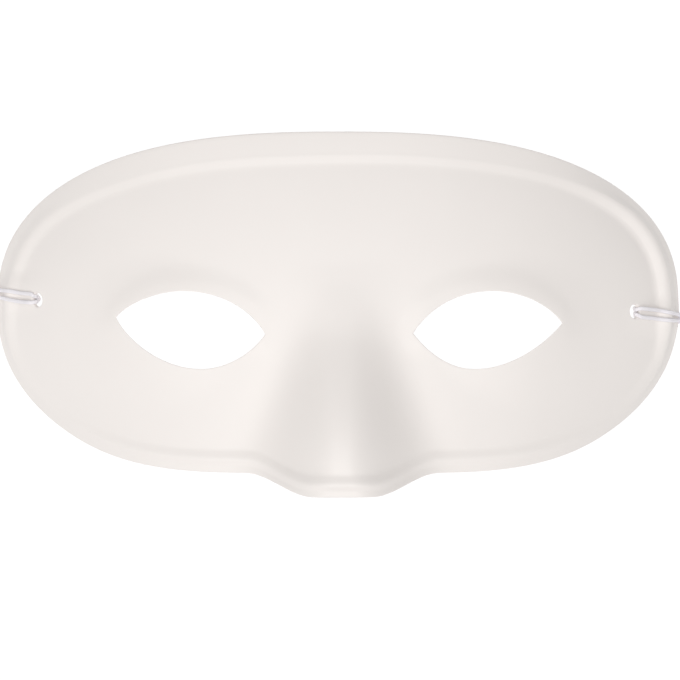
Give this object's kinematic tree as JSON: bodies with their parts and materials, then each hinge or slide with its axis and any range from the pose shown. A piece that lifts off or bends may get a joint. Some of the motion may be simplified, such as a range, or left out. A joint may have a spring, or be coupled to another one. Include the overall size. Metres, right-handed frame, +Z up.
{
  "type": "half mask",
  "caption": "Thin moulded half mask with almond eye holes, a nose and a ribbed rim, lying face up, with an elastic head band.",
  "frame": {"origin": "on the surface the mask lies on, below the middle of the shell's box", "axes": "+X across the face from left to right as seen, +Y from nose to forehead, +Z up and out of the face"},
  "size_m": [0.1758, 0.0878, 0.0609],
  "materials": {
    "white_shell": "warm white moulded plastic, matt and very slightly uneven",
    "white_elastic": "cool white braided round elastic, two strands side by side"
  },
  "bodies": {
    "root": {"mask_shell": "white_shell", "elastic_cord": "white_elastic", "elastic_knot_left": "white_elastic", "elastic_knot_right": "white_elastic"}
  },
  "joints": []
}
